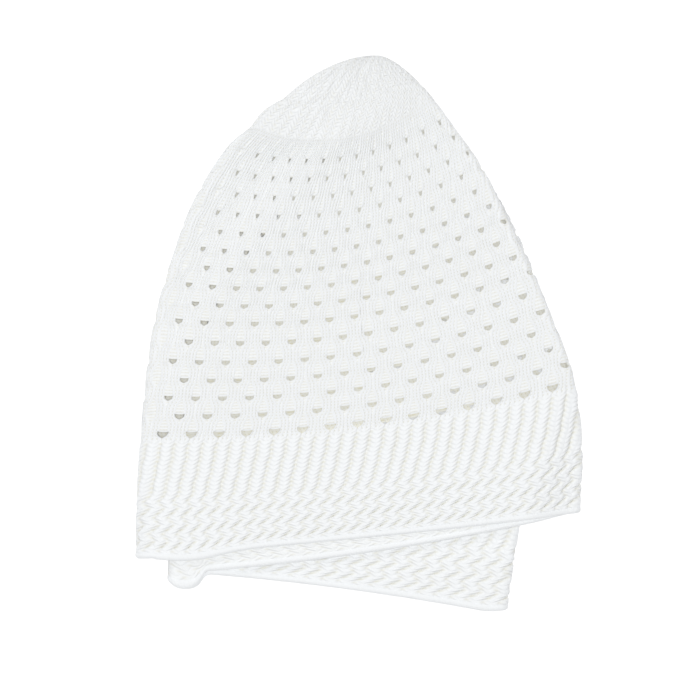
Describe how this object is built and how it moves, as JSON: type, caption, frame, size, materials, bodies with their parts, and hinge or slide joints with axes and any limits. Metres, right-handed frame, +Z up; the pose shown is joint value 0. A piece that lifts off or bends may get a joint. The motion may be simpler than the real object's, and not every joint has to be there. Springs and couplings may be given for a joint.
{
  "type": "knitted kufi cap",
  "caption": "Knitted cotton kufi lying flat and folded, with eyelet rows, a zigzag ribbed band and a plain closed crown.",
  "frame": {"origin": "on the table, under the middle of the lying cap's box", "axes": "+Z up from the table, +Y from the hem to the crown, +X to the right seen from above"},
  "size_m": [0.155, 0.1916, 0.018],
  "materials": {
    "cotton_knit": "matte white cotton knit"
  },
  "bodies": {
    "root": {"crown": "cotton_knit", "eyelet_net": "cotton_knit", "zigzag_band": "cotton_knit", "hem_edge": "cotton_knit"}
  },
  "joints": []
}
